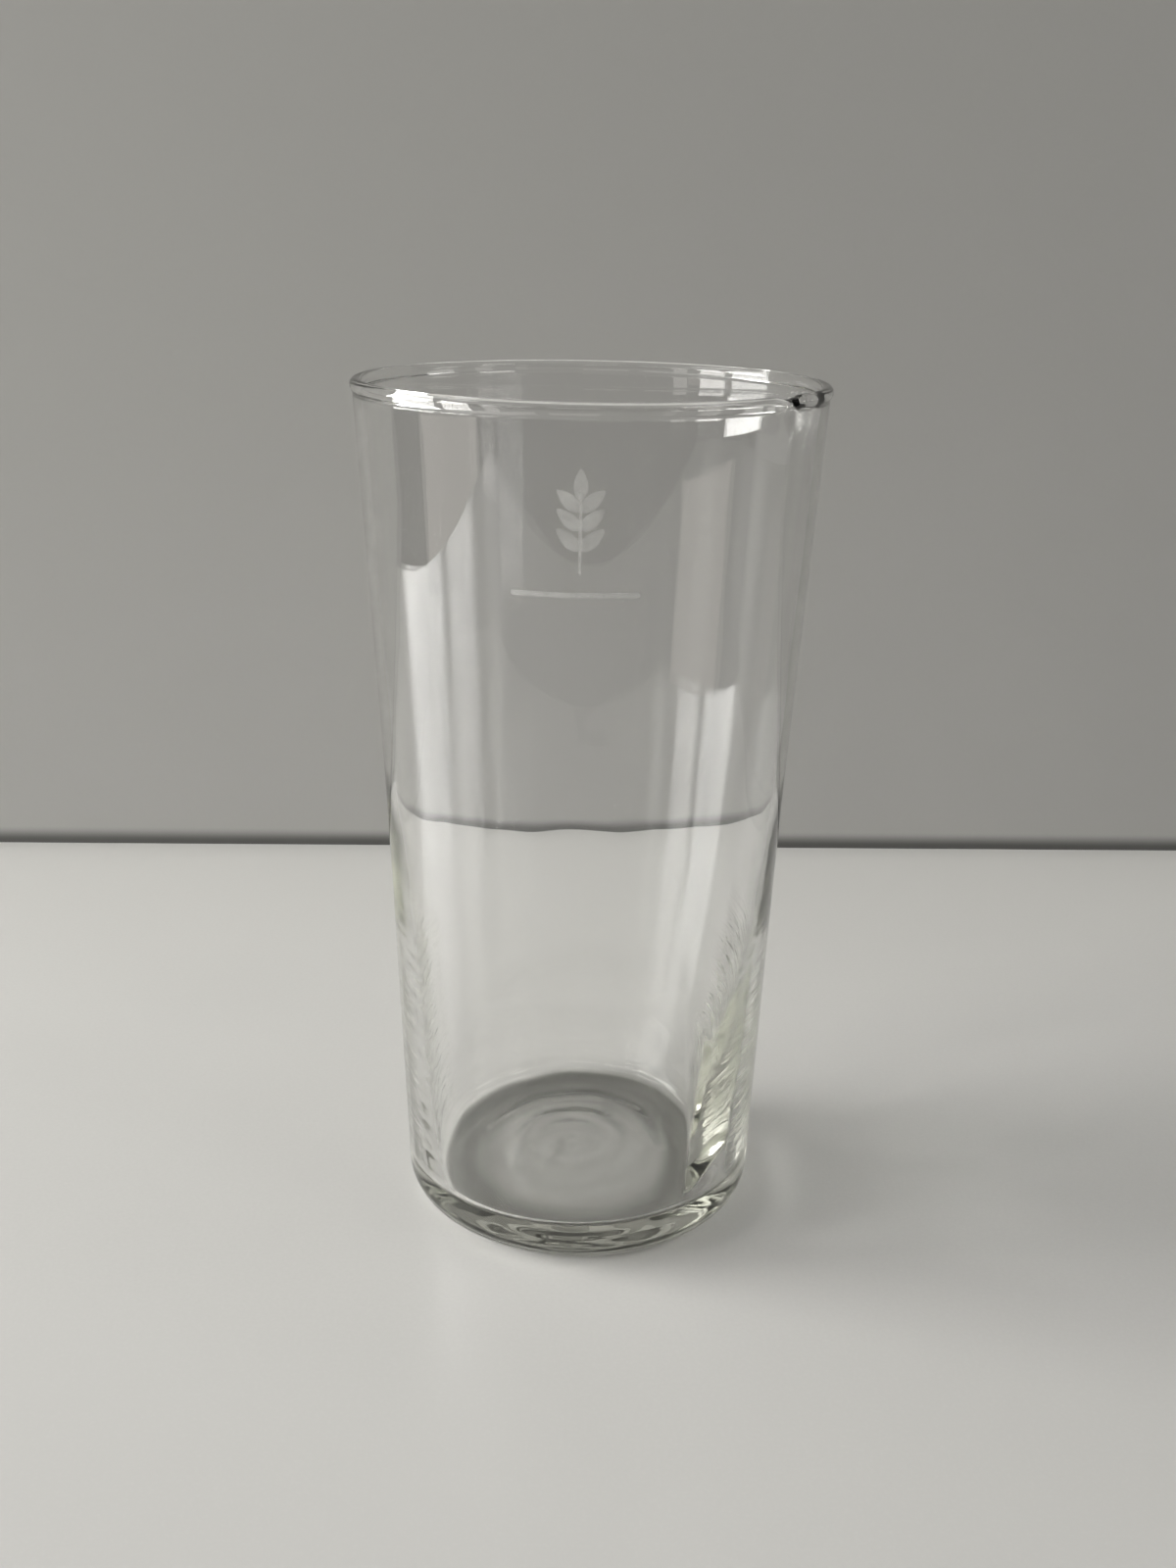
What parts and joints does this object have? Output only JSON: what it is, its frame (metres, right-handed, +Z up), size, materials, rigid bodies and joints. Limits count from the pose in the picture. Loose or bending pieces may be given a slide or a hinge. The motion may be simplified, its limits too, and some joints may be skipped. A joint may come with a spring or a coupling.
{
  "type": "tumbler",
  "caption": "Tall tapered drinking tumbler in clear glass, with a rounded rim bead, a slight stacking shoulder at mid height and a thick rounded base.",
  "frame": {"origin": "middle of the ring that the glass stands on, on the table plane", "axes": "+Z up along the axis of the glass, towards the mouth; the glass is turned, so +X and +Y are alike"},
  "size_m": [0.0688, 0.0688, 0.13],
  "materials": {
    "clear_glass": "clear, gloss"
  },
  "bodies": {
    "root": {"tumbler_body": "clear_glass"}
  },
  "joints": []
}
